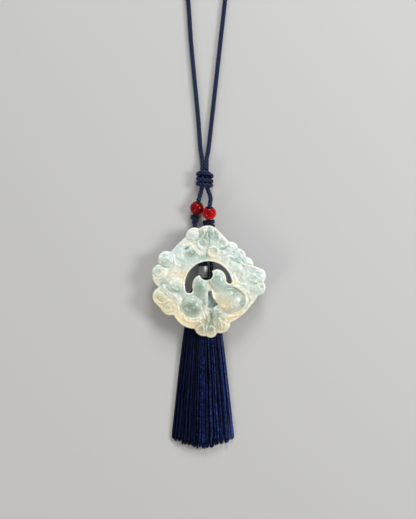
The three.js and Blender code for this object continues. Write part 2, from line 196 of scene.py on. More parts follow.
def braid_tubes(points, diameter, lay, steps_per_lay=26):
    """The tubes of a round braid that follows the points: flat bundles, as many wound one way round as
    the other, that pass over and under each other round a dark core."""
    route, along = smooth_route(points, lay / steps_per_lay)
    side, up = carried_axes(route)
    radius = diameter / 2
    wave = BUNDLE_WEAVE * radius
    half_high, half_wide = BUNDLE_HALF_HEIGHT * radius, BUNDLE_HALF_WIDTH * radius
    middle = radius - half_high - wave
    tubes = []
    for way in (1, -1):
        for bundle in range(BUNDLES_EACH_WAY):
            angle = way * 2 * math.pi * along / lay + bundle * 2 * math.pi / BUNDLES_EACH_WAY
            out = side * np.cos(angle)[:, None] + up * np.sin(angle)[:, None]
            over = way * np.cos(2 * math.pi * BUNDLES_EACH_WAY * along / lay)
            centres = route + out * (middle + wave * over)[:, None]
            run = np.gradient(centres, axis=0)
            run /= np.linalg.norm(run, axis=1)[:, None]
            across = np.cross(run, out)
            across /= np.linalg.norm(across, axis=1)[:, None]
            rings = tube_rings(centres, out, across, half_high, half_wide, BUNDLE_SIDES)
            # Painted highlight: a bundle's thread is lighter where it passes over the others.
            tubes.append((rings, ((over + 1) / 2) ** GLINT_SHARPNESS))
    core_radius = middle * CORE_SHARE
    core = tube_rings(route[::4], side[::4], up[::4], core_radius, core_radius, CORE_SIDES)
    return tubes + [(core, np.zeros(len(core)))]


def new_material(name):
    """A new material, its nodes, its links and its shader."""
    material = bpy.data.materials.new(name)
    material.use_nodes = True
    tree = material.node_tree
    return material, tree.nodes, tree.links, tree.nodes["Principled BSDF"]


def thread_group():
    """Silky thread: where it catches the light, from the shine painted on the mesh and from a pattern
    stretched along the thread, and the height of its fibres."""
    group = bpy.data.node_groups.new("silky thread", "ShaderNodeTree")
    group.interface.new_socket("Stretch", in_out="INPUT", socket_type="NodeSocketVector")
    group.interface.new_socket("Painted", in_out="INPUT", socket_type="NodeSocketFloat")
    group.interface.new_socket("Glint", in_out="OUTPUT", socket_type="NodeSocketFloat")
    group.interface.new_socket("Height", in_out="OUTPUT", socket_type="NodeSocketFloat")
    nodes, links = group.nodes, group.links
    into = nodes.new("NodeGroupInput")
    place = nodes.new("ShaderNodeTexCoord")
    stretched = nodes.new("ShaderNodeVectorMath")
    stretched.operation = "MULTIPLY"
    pattern = nodes.new("ShaderNodeTexNoise")
    pattern.inputs["Scale"].default_value = 1
    pattern.inputs["Detail"].default_value = 3
    sharper = nodes.new("ShaderNodeMapRange")
    sharper.inputs["From Min"].default_value = 0.4
    sharper.inputs["From Max"].default_value = 0.72
    painted = nodes.new("ShaderNodeAttribute")
    painted.attribute_name = "glint"
    share = nodes.new("ShaderNodeMix")
    out = nodes.new("NodeGroupOutput")
    links.new(place.outputs["Object"], stretched.inputs[0])
    links.new(into.outputs["Stretch"], stretched.inputs[1])
    links.new(stretched.outputs["Vector"], pattern.inputs["Vector"])
    links.new(pattern.outputs["Fac"], sharper.inputs["Value"])
    links.new(into.outputs["Painted"], share.inputs["Factor"])
    links.new(sharper.outputs["Result"], share.inputs["A"])
    links.new(painted.outputs["Fac"], share.inputs["B"])
    links.new(share.outputs["Result"], out.inputs["Glint"])
    links.new(pattern.outputs["Fac"], out.inputs["Height"])
    return group


silky_thread = thread_group()


def thread_material(name, dark, light, stretch, painted, roughness):
    """Silky thread between two colours. Stretch says how fine its pattern is along x, y and z, and painted
    is the share of the shine that comes from the mesh."""
    material, nodes, links, shader = new_material(name)
    thread = nodes.new("ShaderNodeGroup")
    thread.node_tree = silky_thread
    thread.inputs["Stretch"].default_value = stretch
    thread.inputs["Painted"].default_value = painted
    ramp = nodes.new("ShaderNodeValToRGB")
    ramp.color_ramp.elements[0].position = 0.42
    ramp.color_ramp.elements[0].color = dark
    ramp.color_ramp.elements[1].position = 1.0
    ramp.color_ramp.elements[1].color = light
    raised = nodes.new("ShaderNodeBump")
    raised.inputs["Strength"].default_value = 0.3
    raised.inputs["Distance"].default_value = 0.0001
    links.new(thread.outputs["Glint"], ramp.inputs["Fac"])
    links.new(ramp.outputs["Color"], shader.inputs["Base Color"])
    links.new(thread.outputs["Height"], raised.inputs["Height"])
    links.new(raised.outputs["Normal"], shader.inputs["Normal"])
    shader.inputs["Roughness"].default_value = roughness
    shader.inputs["Specular IOR Level"].default_value = 0.28
    shader.inputs["Specular Tint"].default_value = (0.45, 0.6, 1.0, 1)
    return material


navy_cord = thread_material("braided navy cord", (0.0004, 0.0006, 0.0025, 1), (0.054, 0.08, 0.2, 1),
                            (2500, 2500, 2500), 0.94, 0.3)

cord = mesh_piece("hanging_loop_cord", braid_tubes(CORD_ROUTE, CORD_DIAMETER, CORD_LAY))
cord.data.materials.append(navy_cord)
cord_line = [on_plan(*point) for point in smooth_route(CORD_ROUTE, CORD_LINE_SPACING)[0]]
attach(cord, "root")
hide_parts("hanging_cord")


# Wrap knot: the cord's own end, wound three times round the two strands and pulled tight. Each turn runs
# a little aslant across the front, and the first one arches up in its middle.
WRAP_MIDDLE = (-1.84, 43.6)
WRAP_LEVEL = 2.96
WRAP_PITCH = 2.1
WRAP_HALF_WIDTH = 2.95
WRAP_HALF_HEIGHT = 1.95
WRAP_REACH = 2.4
WRAP_CORD = 1.95
WRAP_PULL = 0.05
WRAP_PINCH = 0.97
WRAP_SQUARENESS = 0.8
WRAP_STEPS_A_TURN = 20
WRAP_STEPS = range(-3, 53)
FIRST_TURN_ARCH = {"rise": 1.05, "turn": 0.24, "length": 0.15}
SECOND_TURN_DIP = {"rise": -0.15, "turn": 1.3, "length": 0.1}


def flattened(value):
    """Rounds a turn off towards a rectangle: value is the sine or cosine of the angle reached."""
    return math.copysign(abs(value) ** WRAP_SQUARENESS, value)


def bend(turn, shape):
    """How far one turn is pushed out of line along the strands, at the part of a turn reached."""
    return shape["rise"] * math.exp(-((turn - shape["turn"]) / shape["length"]) ** 2)


def wrap_route():
    """The knot's turns from the top one to the bottom one. The middle turn is pulled the tightest."""
    points = []
    for step in WRAP_STEPS:
        turn = step / WRAP_STEPS_A_TURN
        angle = 2 * math.pi * turn + math.pi
        tight = 1 - WRAP_PULL * math.cos(math.pi * (turn - 1.2) / 1.3) ** 2 + WRAP_PULL
        x = WRAP_HALF_WIDTH * tight * flattened(math.cos(angle)) * WRAP_PINCH
        z = WRAP_HALF_HEIGHT * flattened(math.sin(angle))
        y = max(-WRAP_REACH, min(WRAP_REACH, WRAP_PITCH * (1.25 - turn)))
        y += bend(turn, FIRST_TURN_ARCH) + bend(turn, SECOND_TURN_DIP)
        points.append((WRAP_MIDDLE[0] + x, WRAP_MIDDLE[1] + y, WRAP_LEVEL - z))
    return points


wrap = mesh_piece("wrap_knot_turns", braid_tubes(wrap_route(), WRAP_CORD, CORD_LAY, 24))
wrap.data.materials.append(navy_cord)
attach(wrap, "root")
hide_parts("wrap_knot")


# Stopper knots: a small overhand knot in each strand, just under its bead. Its turns cross in front. The
# right one is larger, and lies pressed flat where it goes under the jade's edge.
LEFT_KNOT = {"middle": (-6.07, 27.28, 1.99), "lean": 12, "half": (1.3, 1.1), "cord": 1.35, "turns": 1.75}
RIGHT_KNOT = {"middle": (-0.04, 25.26, 3.55), "lean": -4, "half": (1.95, 0.9), "cord": 1.45, "turns": 2.25}
KNOT_STEPS_A_TURN = 14
KNOT_CLIMB = 0.55
KNOT_CROSSING = 0.34
KNOT_LAY = 3


def knot_route(knot):
    """The turns of one knot round its strand. They climb by a share of the knot's cord in each turn, and
    cross in front by a share of its width."""
    points = []
    lean = math.radians(knot["lean"])
    for i in range(int(knot["turns"] * KNOT_STEPS_A_TURN) + 1):
        turn = i / KNOT_STEPS_A_TURN
        angle = 2 * math.pi * turn
        x = knot["half"][0] * math.cos(angle)
        z = knot["half"][1] * math.sin(angle)
        y = knot["cord"] * KNOT_CLIMB * (turn - knot["turns"] / 2)
        y -= KNOT_CROSSING * x * math.cos(math.pi * turn)
        points.append((knot["middle"][0] + x * math.cos(lean) + y * math.sin(lean),
                       knot["middle"][1] + y * math.cos(lean) - x * math.sin(lean),
                       knot["middle"][2] + z))
    return points


for side_name, knot in (("left", LEFT_KNOT), ("right", RIGHT_KNOT)):
    stopper = mesh_piece(
        side_name + "_knot_turns", braid_tubes(knot_route(knot), knot["cord"], KNOT_LAY * knot["cord"], 20))
    stopper.data.materials.append(navy_cord)
    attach(stopper, "root")
    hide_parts(side_name + "_stopper_knot")


# Beads: two balls of red stone, bored through and polished. The bore's rims are eased so that they don't
# cut the cord. The stone is cloudy inside, and the left bead is painted darker, as painted shade beside the
# right one.
BEAD_DIAMETER = 6.0
BEAD_MERIDIANS = 64
BEAD_PARALLELS = 40
CUT_AWAY_WITHIN = 1.15
RIM_EASING = 0.12
LEFT_BORE_LINE = (0.21, 0.95, 0.23)
RIGHT_BORE_LINE = (0.04, 0.89, 0.455)


def apply_modifier(piece, kind, **settings):
    """Puts a modifier on the active piece and applies it."""
    modifier = piece.modifiers.new(kind.lower(), kind)
    for setting, value in settings.items():
        setattr(modifier, setting, value)
    bpy.ops.object.modifier_apply(modifier=modifier.name)


def bored_bead(name, node, line):
    """A ball in the middle of its node, bored along the line. The ball's rings that are nearer its axis
    than CUT_AWAY_WITHIN are cut away, and the two rings next to them are joined by the bore's wall."""
    low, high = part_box(node)
    centre = (Vector(low) + Vector(high)) / 2
    bpy.ops.object.select_all(action="DESELECT")
    bpy.ops.mesh.primitive_uv_sphere_add(
        segments=BEAD_MERIDIANS, ring_count=BEAD_PARALLELS, radius=BEAD_DIAMETER / 2 * MM)
    bead = bpy.context.object
    bead.name = name
    bpy.ops.object.mode_set(mode="EDIT")
    bpy.ops.mesh.select_all(action="DESELECT")
    bpy.ops.object.mode_set(mode="OBJECT")
    for vertex in bead.data.vertices:
        vertex.select = math.hypot(vertex.co.x, vertex.co.y) < CUT_AWAY_WITHIN * MM
    bpy.ops.object.mode_set(mode="EDIT")
    bpy.ops.mesh.select_mode(type="VERT")
    bpy.ops.mesh.delete(type="VERT")
    bpy.ops.mesh.select_all(action="DESELECT")
    bpy.ops.mesh.select_mode(type="EDGE")
    bpy.ops.mesh.select_non_manifold()
    bpy.ops.mesh.bridge_edge_loops(number_cuts=6)
    bpy.ops.object.mode_set(mode="OBJECT")
    face_outward(bead)
    apply_modifier(bead, "BEVEL", limit_method="ANGLE", angle_limit=math.radians(40),
                   width=RIM_EASING * MM, segments=3)
    turn = Vector((0, 0, 1)).rotation_difference(Vector(line)).to_matrix().to_4x4()
    bead.data.transform(Matrix.Translation(centre) @ turn)
    bpy.ops.object.shade_smooth()
    return bead


def bead_material(name, dark, light):
    """Polished stone, cloudy between two reds."""
    material, nodes, links, shader = new_material(name)
    place = nodes.new("ShaderNodeTexCoord")
    cloud = nodes.new("ShaderNodeTexNoise")
    cloud.inputs["Scale"].default_value = 240
    cloud.inputs["Detail"].default_value = 2
    cloud.inputs["Distortion"].default_value = 0.6
    ramp = nodes.new("ShaderNodeValToRGB")
    ramp.color_ramp.elements[0].position = 0.3
    ramp.color_ramp.elements[0].color = dark
    ramp.color_ramp.elements[1].position = 0.66
    ramp.color_ramp.elements[1].color = light
    links.new(place.outputs["Object"], cloud.inputs["Vector"])
    links.new(cloud.outputs["Fac"], ramp.inputs["Fac"])
    links.new(ramp.outputs["Color"], shader.inputs["Base Color"])
    shader.inputs["Roughness"].default_value = 0.06
    shader.inputs["Specular IOR Level"].default_value = 0.32
    shader.inputs["Specular Tint"].default_value = (1.0, 0.42, 0.45, 1)
    shader.inputs["Subsurface Weight"].default_value = 0.12
    shader.inputs["Subsurface Radius"].default_value = (1.0, 0.12, 0.1)
    shader.inputs["Subsurface Scale"].default_value = 0.0015
    return material


# Painted shade: the left bead's stone is a darker copy of the right one's.
shaded_red = bead_material("red stone with painted shade", (0.018, 0.0, 0.0004, 1), (0.24, 0.0005, 0.0015, 1))
clear_red = bead_material("clear red stone", (0.14, 0.0, 0.002, 1), (0.5, 0.0008, 0.006, 1))
for side_name, line, stone in (("left", LEFT_BORE_LINE, shaded_red), ("right", RIGHT_BORE_LINE, clear_red)):
    bead = bored_bead("polished_" + side_name + "_bead", side_name + "_bead", line)
    bead.data.materials.append(stone)
    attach(bead, "root")
    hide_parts(side_name + "_bead")


# Sleeve: a short tube of satin-ground steel, pushed over the tassel's bound neck. Both of its rims are
# rolled a little, and the grinding runs round it.
SLEEVE_WALL = 0.4
SLEEVE_RIM = 0.16
SLEEVE_SIDES = 72
sleeve_radius = (sleeve_high[0] - sleeve_low[0]) / 2
sleeve_length = sleeve_high[1] - sleeve_low[1]
sleeve_middle = (Vector(sleeve_low) + Vector(sleeve_high)) / 2
bpy.ops.object.select_all(action="DESELECT")
bpy.ops.mesh.primitive_cylinder_add(
    vertices=SLEEVE_SIDES, radius=sleeve_radius, depth=sleeve_length, end_fill_type="NOTHING")
sleeve = bpy.context.object
sleeve.name = "ground_steel_sleeve"
face_outward(sleeve)
apply_modifier(sleeve, "SOLIDIFY", thickness=SLEEVE_WALL * MM, offset=-1)
apply_modifier(sleeve, "BEVEL", limit_method="ANGLE", angle_limit=math.radians(50),
               width=SLEEVE_RIM * MM, segments=4)
sleeve.data.transform(Matrix.Translation(sleeve_middle) @ Matrix.Rotation(math.radians(90), 4, "X"))
bpy.ops.object.shade_smooth_by_angle(angle=math.radians(35))


def sleeve_material():
    """Satin steel, with a fine grain that runs round the tube."""
    material, nodes, links, shader = new_material("satin steel")
    place = nodes.new("ShaderNodeTexCoord")
    stretch = nodes.new("ShaderNodeMapping")
    stretch.inputs["Scale"].default_value = (150, 5200, 150)
    grain = nodes.new("ShaderNodeTexNoise")
    grain.inputs["Scale"].default_value = 1
    grain.inputs["Detail"].default_value = 4
    shade = nodes.new("ShaderNodeValToRGB")
    shade.color_ramp.elements[0].position = 0.3
    shade.color_ramp.elements[0].color = (0.14, 0.14, 0.15, 1)
    shade.color_ramp.elements[1].position = 0.7
    shade.color_ramp.elements[1].color = (0.32, 0.32, 0.31, 1)
    gloss = nodes.new("ShaderNodeMapRange")
    gloss.inputs["To Min"].default_value = 0.4
    gloss.inputs["To Max"].default_value = 0.52
    raised = nodes.new("ShaderNodeBump")
    raised.inputs["Strength"].default_value = 0.03
    raised.inputs["Distance"].default_value = 0.0001
    links.new(place.outputs["Object"], stretch.inputs["Vector"])
    links.new(stretch.outputs["Vector"], grain.inputs["Vector"])
    links.new(grain.outputs["Fac"], shade.inputs["Fac"])
    links.new(shade.outputs["Color"], shader.inputs["Base Color"])
    links.new(grain.outputs["Fac"], gloss.inputs["Value"])
    links.new(gloss.outputs["Result"], shader.inputs["Roughness"])
    links.new(grain.outputs["Fac"], raised.inputs["Height"])
    links.new(raised.outputs["Normal"], shader.inputs["Normal"])
    shader.inputs["Metallic"].default_value = 1
    return material


sleeve.data.materials.append(sleeve_material())
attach(sleeve, "root")
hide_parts("tassel_sleeve")


# Sleeve tie: a short end of thinner navy cord that comes down beside the sleeve and is tucked in under
# it with a small turn.
TIE_ROUTE = [(0.6, 9.4, 2.6), (1.05, 7, 3.5), (1.1, 4.2, 3.7), (1.1, 2, 3.7), (0.4, 0.8, 3.7)]
TIE_DIAMETER = 1.5
TIE_LAY = 3 * TIE_DIAMETER
tie = mesh_piece("sleeve_tie_end", braid_tubes(TIE_ROUTE, TIE_DIAMETER, TIE_LAY, 24))
tie.data.materials.append(navy_cord)
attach(tie, "root")
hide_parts("sleeve_tie")


# Tassel: about a thousand navy threads, bound at the neck inside the sleeve. They spread on the surface
# as they lie, gather in some twenty locks towards their ends, and are cut a little unevenly.
TASSEL_AXIS = -2.6
TASSEL_TOP = 4.35
TASSEL_LENGTH = 76.5
TASSEL_HALF_WIDTH = 13.5
TASSEL_NECK = 2.0
# Place along the tassel, half its width there as a share of the cut end's, and how flat it lies there
TASSEL_STATIONS = [
    (0, 0.15, 0), (0.056, 0.15, 0), (0.068, 0.28, 0.3), (0.1, 0.39, 0.8), (0.16, 0.46, 1),
    (0.32, 0.6, 1), (0.55, 0.77, 1), (0.78, 0.91, 1), (0.93, 0.99, 1), (1, 1, 1),
]
TASSEL_THICKNESS = (5.2, 3.0)
TASSEL_MIDDLE_LEVEL = 0.3
TASSEL_CORNER_RISE = 4.6
TASSEL_EDGE = 0.98
TASSEL_END = 0.999
CORE_END = 0.94
CORE_HALF_WIDTH = 0.86
CORE_HALF_HEIGHT = 0.4
# Threads and locks. Widths are shares of half the tassel's width, and ends are shares of its length.
THREADS = 1050
THREAD_RADIUS = 0.17
THREAD_SIDES = 4
RINGS_A_THREAD = 18
THREAD_ENDS = (-0.012, 0.006)
OUTERMOST_THREAD = 0.965
LOCKS = 19
LOCKS_REACH = 0.97
LOCK_WIDTHS = (0.35, 1.5)
LOCK_ENDS = (-0.018, 0.004)
LOCK_LIFTS = (-0.25, 0.0)
LOCK_PULL = 0.3
LOCK_PINCH_AT_END = 0.05
END_SPREAD = 0.035
THREAD_SWING = 0.012
LOOSE_FROM = 0.1
LOOSE_OVER = 0.6


def tassel_point(across, high, place):
    """A place in the tassel: across and high run from -1 to 1 over its section."""
    along, width, flat = zip(*TASSEL_STATIONS)
    half = np.maximum(TASSEL_NECK, np.interp(place, along, width) * TASSEL_HALF_WIDTH)
    flatness = np.interp(place, along, flat)
    half = np.where(flatness == 0, TASSEL_NECK, half)
    top = TASSEL_THICKNESS[0] + (TASSEL_THICKNESS[1] - TASSEL_THICKNESS[0]) * place
    middle = sleeve_radius / MM * (1 - flatness) + top * TASSEL_MIDDLE_LEVEL * flatness
    rise = TASSEL_NECK * (1 - flatness) + top * (1 - TASSEL_MIDDLE_LEVEL) * flatness
    x = TASSEL_AXIS + across * half
    z = np.maximum(THREAD_RADIUS, middle + high * rise)
    y = TASSEL_TOP - TASSEL_LENGTH * place + TASSEL_CORNER_RISE * across ** 2 * place ** 8
    return x, y, z


def tassel_threads():
    """One thin tube for each thread. Most threads lie near the top, and every fifth one lies deeper."""
    chance = random.Random(7)
    borders = [0.0]
    for _ in range(LOCKS):
        borders.append(borders[-1] + chance.uniform(*LOCK_WIDTHS))
    borders = [2 * LOCKS_REACH * border / borders[-1] - LOCKS_REACH for border in borders]
    lock_ends = [chance.uniform(*LOCK_ENDS) for _ in range(LOCKS)]
    lock_lifts = [chance.uniform(*LOCK_LIFTS) for _ in range(LOCKS)]
    tubes = []
    for number in range(THREADS):
        across = chance.uniform(-OUTERMOST_THREAD, OUTERMOST_THREAD)
        reach = math.sqrt(1 - across * across)
        high = reach * (chance.uniform(0.72, 0.97) if number % 5 else chance.uniform(-0.9, 0.6))
        lock = max(n for n in range(LOCKS) if borders[n] <= across)
        middle = (borders[lock] + borders[lock + 1]) / 2
        away = (across - middle) / (borders[lock + 1] - borders[lock]) * 2
        end = 1.0 + lock_ends[lock] - 0.008 * away ** 2 + chance.uniform(*THREAD_ENDS)
        place = np.linspace(0.0, min(end, TASSEL_END), RINGS_A_THREAD)
        late = np.clip((place - LOOSE_FROM) / LOOSE_OVER, 0, 1)
        lane = middle + (across - middle) * (1 - LOCK_PULL * late - LOCK_PINCH_AT_END * late ** 8)
        lane *= 1 + END_SPREAD * late
        swing = THREAD_SWING * np.sin(place * chance.uniform(5, 14) + chance.uniform(0, 6.3)) * late
        sunk = (0.5 * away ** 2 - lock_lifts[lock] - 0.06 * math.sin(number)) * late
        lane = np.clip(lane + swing, -TASSEL_EDGE, TASSEL_EDGE)
        route = np.column_stack(tassel_point(lane, np.clip(high - sunk, -1, 0.97), place))
        side, up = carried_axes(route)
        thick = THREAD_RADIUS * chance.uniform(0.8, 1.15)
        # Painted highlight: a thread's shine is highest along the middle of its lock and grows towards the
        # right side, where the lamp stands; the rest varies at random.
        shine = (1 - 0.8 * away ** 2) * chance.uniform(0.1, 1.0) ** 1.3 * (0.67 + 0.56 * across)
        rings = tube_rings(route, side, up, thick, thick, THREAD_SIDES)
        tubes.append((rings, np.full(RINGS_A_THREAD, shine)))
    return tubes


def tassel_core():
    """The threads that lie inside, out of sight, as one closed body that ends short of the cut."""
    place = np.linspace(0.0, CORE_END, 40)
    rings = []
    for angle in np.linspace(0, 2 * math.pi, 28, endpoint=False):
        x, y, z = tassel_point(
            CORE_HALF_WIDTH * math.cos(angle), CORE_HALF_HEIGHT * math.sin(angle) - 0.1, place)
        rings.append(np.column_stack([x, y, np.maximum(z, 0.05)]))
    rings = np.stack(rings, axis=1)
    return [(rings, np.zeros(len(rings)))]


tassel = mesh_piece("tassel_threads", tassel_threads() + tassel_core())
tassel.data.materials.append(thread_material(
    "navy silk thread", (0.0006, 0.0013, 0.012, 1), (0.075, 0.145, 0.6, 1), (2600, 1300, 1500), 0.6, 0.36))
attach(tassel, "root")
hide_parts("tassel")


# Jade plaque: one slab of icy, translucent jade, sawn out with an arched slot and carved on its face with
# two gourds among leaves, petals and tendrils. Polishing has softened the carving, and every edge keeps a
# raised rim that lets the light through.
JADE_GRAIN = 0.22
SLAB_LEVEL = 3.4
SLIT_FLOOR = 2.5
# The carving, in millimetres: how wide its lines are, and how far each raises or lowers the stone
RIDGE_WIDTH = 0.38
CUT_WIDTH = 0.36
RIM_WIDTH = 0.4
RIDGE_HEIGHT = 0.32
CUT_DEPTH = 0.38
RIM_HEIGHT = 0.1
RIM_GROOVE = 0.08
RIPPLE_HEIGHT = 0.26
RIM_FROM_EDGE = 0.35
GROOVE_FROM_EDGE = 1.2
# The view that the carving was read off: millimetres to a pixel, and the jade's middle in pixels
VIEW_PIXEL = 3 / 7
PLAQUE_IN_VIEW = (208.9, 281.4)
STROKE_SPACING = 0.5
plaque_low, plaque_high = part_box("jade_plaque")
back_level = plaque_low[2]

bpy.ops.object.select_all(action="DESELECT")
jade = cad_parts["jade_plaque"].copy()
jade.data = jade.data.copy()
jade.name = "carved_jade"
jade.parent = None
bpy.context.collection.objects.link(jade)
jade.select_set(True)
bpy.context.view_layer.objects.active = jade
jade.hide_set(False)
bpy.ops.object.mode_set(mode="EDIT")
bpy.ops.mesh.select_all(action="SELECT")
bpy.ops.mesh.remove_doubles(threshold=1e-6)
bpy.ops.object.mode_set(mode="OBJECT")
apply_modifier(jade, "REMESH", mode="VOXEL", voxel_size=JADE_GRAIN * MM)
apply_modifier(jade, "SMOOTH", factor=0.5, iterations=7)


def seen(point):
    """A place read off the view, in pixels, as millimetres on the plan."""
    across = (point[0] - PLAQUE_IN_VIEW[0]) * VIEW_PIXEL
    return np.array([across, (PLAQUE_IN_VIEW[1] - point[1]) * VIEW_PIXEL])


def vertex_values(piece, name):
    """One value with three parts, such as the place, for every vertex of a piece."""
    flat = np.empty(len(piece.data.vertices) * 3)
    piece.data.vertices.foreach_get(name, flat)
    return flat.reshape(-1, 3)


places = vertex_values(jade, "co")
normals = vertex_values(jade, "normal")
plan = (places[:, :2] - np.array([plan_x, plan_y])) / MM
level = (places[:, 2] - back_level) / MM
# Only the face is carved: what looks up, and lies above the floors of the recesses.
facing_up = np.clip((normals[:, 2] - 0.15) / 0.5, 0, 1) * (level > 1.4)

# How far each vertex is from the nearest wall on the plan, which is the outline's or the slot's
walls = plan[(np.abs(normals[:, 2]) < 0.5) & (level > 0.2) & (level < 0.8)]
tree = kdtree.KDTree(len(walls))
for index, (x, y) in enumerate(walls):
    tree.insert((x, y, 0), index)
tree.balance()
edge_distance = np.array([tree.find((x, y, 0))[2] for x, y in plan])


def crest(distance, width):
    """1 at the distance 0, falling off smoothly to either side."""
    return np.exp(-(distance / width) ** 2)


def stroke(points, width):
    """How near each vertex is to a smooth line through the points, from 0 far off to 1 on it."""
    line = smooth_route([(*seen(point), 0) for point in points], STROKE_SPACING)[0][:, :2]
    close = np.all((plan > line.min(axis=0) - 3 * width) & (plan < line.max(axis=0) + 3 * width), axis=1)
    near = plan[close]
    nearest = np.full(len(near), 1e9)
    for a, b in zip(line, line[1:]):
        run = b - a
        share = np.clip(((near - a) @ run) / (run @ run), 0, 1)
        away = near - a - share[:, None] * run
        nearest = np.minimum(nearest, np.einsum("ij,ij->i", away, away))
    strength = np.zeros(len(plan))
    strength[close] = np.exp(-nearest / width ** 2)
    return strength


def spot(x, y, across, along, turn, strength=1.0):
    """A soft patch at a place in the view: its half-sizes in pixels, turned anticlockwise."""
    middle = seen((x, y))
    angle = math.radians(turn)
    dx, dy = plan[:, 0] - middle[0], plan[:, 1] - middle[1]
    u = (dx * math.cos(angle) + dy * math.sin(angle)) / (across * VIEW_PIXEL)
    v = (dy * math.cos(angle) - dx * math.sin(angle)) / (along * VIEW_PIXEL)
    return strength * np.exp(-(u * u + v * v))


# Raised lines of the carving, clockwise from the top: rims of petals, leaf veins, tendrils and stems
RIDGES = [
    [(203, 229), (204, 233), (202.5, 237), (200.5, 240)],
    [(212, 229), (213.5, 233), (212, 238), (210, 243)],
    [(217, 231), (219, 235), (219, 239), (217, 243)],
    [(221, 246.5), (224.5, 246), (227.5, 243.5), (228.5, 241.5)], [(230, 245), (233, 247), (235, 251)],
    [(238, 251), (240.5, 254), (241.5, 258)], [(223, 251), (227, 249.5), (231, 250)],
    [(224, 254), (228, 252.8), (232, 254)], [(226, 257.5), (230, 256), (234, 258)],
    [(240, 262), (245, 265), (250, 266), (256, 267.5)], [(246, 259), (249, 261), (250.5, 264)],
    [(247, 271), (251, 274), (255, 275), (259, 279)],
    [(250, 280), (255, 281.5), (259, 284), (262, 284)],
    [(234.5, 276), (236.5, 280.5), (240, 283.5), (245, 284.5)],
    [(209.5, 248), (208.3, 252), (210, 256), (214, 257.8)], [(217, 249), (218, 252.5), (216, 256)],
    [(233, 285.5), (238, 288.3), (243, 292), (247, 295.3), (251, 298.5)],
    [(244, 293), (246, 298), (246.3, 303), (243.5, 308), (238, 312), (232, 313.5)],
    [(224, 313), (228, 315.5), (233, 316), (238, 314.5)], [(219.5, 319.5), (221, 324), (222, 329)],
    [(225, 320), (226, 324), (225, 328)], [(213, 320), (214, 326), (215, 331)],
    [(209, 316), (208, 322), (207, 328), (206.5, 334)], [(200, 322), (203, 326), (204, 332)],
    [(196, 330), (199, 326), (203, 324.5)], [(211.8, 290), (213, 296), (216, 301.5), (219, 305)],
    [(206, 292.5), (208, 297), (208, 302.5), (206, 307.5), (205.5, 312), (207.5, 315)],
    [(200.5, 303), (201, 308), (203, 313), (204.5, 318)], [(203.5, 305), (204, 310), (206, 315)],
    [(190, 318), (195, 318.5), (199, 316.5), (201, 313)], [(193, 321.5), (198, 321), (202, 318)],
    [(178, 303), (179, 309), (182, 315), (186, 320)], [(180.5, 303), (181.5, 308), (184, 313.5)],
    [(155, 300), (159, 302.5), (163, 303), (168, 300.5), (174, 301), (178, 304)],
    [(163, 285), (165, 289), (169, 292), (174, 295.5), (178, 299)],
    [(170, 283), (172, 287), (177, 290)],
    [(153.5, 276), (156, 278), (159, 278.5), (163, 276.5), (166, 273.5)],
    [(163, 272), (166, 276), (167, 281)], [(160, 262), (164, 258.5), (168, 258), (171, 262)],
    [(172.5, 253.5), (174, 258), (175, 264)], [(175, 264), (178, 265.5), (181, 266.5)],
    [(181, 249), (181.5, 253), (182, 256.5)], [(183, 246), (187, 244.5), (191, 244), (193, 246.5)],
    [(183.5, 253), (187, 251.5), (190.5, 249), (192.5, 246.5)],
    [(192.5, 246.5), (194.5, 249.5), (198, 253.5), (199.5, 254.5)],
    [(198, 240.5), (197.8, 244), (199.5, 247.5), (203, 249.8), (206, 249)],
    [(187, 236), (190, 240), (195, 242), (199, 241)],
]
# Cut lines: where one petal or leaf goes under the next, and the creases round the gourds
CUTS = [
    [(208.5, 227), (208.3, 235), (208.8, 243), (207.5, 250), (206, 257)],
    [(219.5, 249), (223.5, 249.3), (228.5, 245.5)], [(237.8, 248.3), (233.5, 252), (230, 254)],
    [(245.5, 257), (240.5, 260.5)], [(237, 255), (241, 259), (244, 263)],
    [(253.3, 265.5), (248, 264.5), (243, 266.5)], [(230, 258.5), (235, 262), (240, 263)],
    [(264, 283), (259, 282.5), (254, 284.5)], [(246.5, 293), (249, 298), (248.5, 303), (245, 309)],
    [(229.3, 323.5), (224.5, 321), (220, 316.5)], [(216.8, 333), (214.5, 328), (212, 323)],
    [(205.8, 336), (207, 330), (208, 324)], [(194.3, 329), (197, 325.5), (200, 323.5)],
    [(178.7, 305), (180, 311), (183.5, 317.5)], [(163, 306.5), (167, 304.2), (171, 306), (172.5, 309)],
    [(157, 297), (159.5, 300.5), (162, 302)], [(160, 290), (166, 295), (172, 300), (176, 303)],
    [(159.5, 286), (162, 284), (166, 284)], [(158.5, 263.5), (163, 266.5), (168, 268)],
    [(198, 229.8), (199.5, 234), (198, 239), (194, 241.5), (188, 239)],
]
# Rings at the ends of tendrils, by place and radius, and drilled dots by place
RINGS = [
    (203, 244.5, 4.2), (213, 251.5, 4.4), (217.8, 309.2, 3.6), (168, 308, 3.4), (158, 272, 3.6),
    (164, 257, 4.2),
]
DOTS = [
    (168, 261), (163, 255.5), (167, 278), (159, 299), (177, 292), (203, 327), (211, 331), (241, 253),
    (249, 261), (222, 241), (215, 234), (261, 287), (257, 273), (209.5, 311.5), (214, 274), (219, 277),
    (171, 286), (236, 262),
]
DOT_SIZE = (1.2, 1.0)
# The lobes of the two gourds, by place and half-sizes
GOURDS = [
    (202, 287.5, 9.5, 12), (192.3, 306, 11, 11), (217, 280.5, 10, 11.5), (229.5, 300.5, 14.5, 13),
]

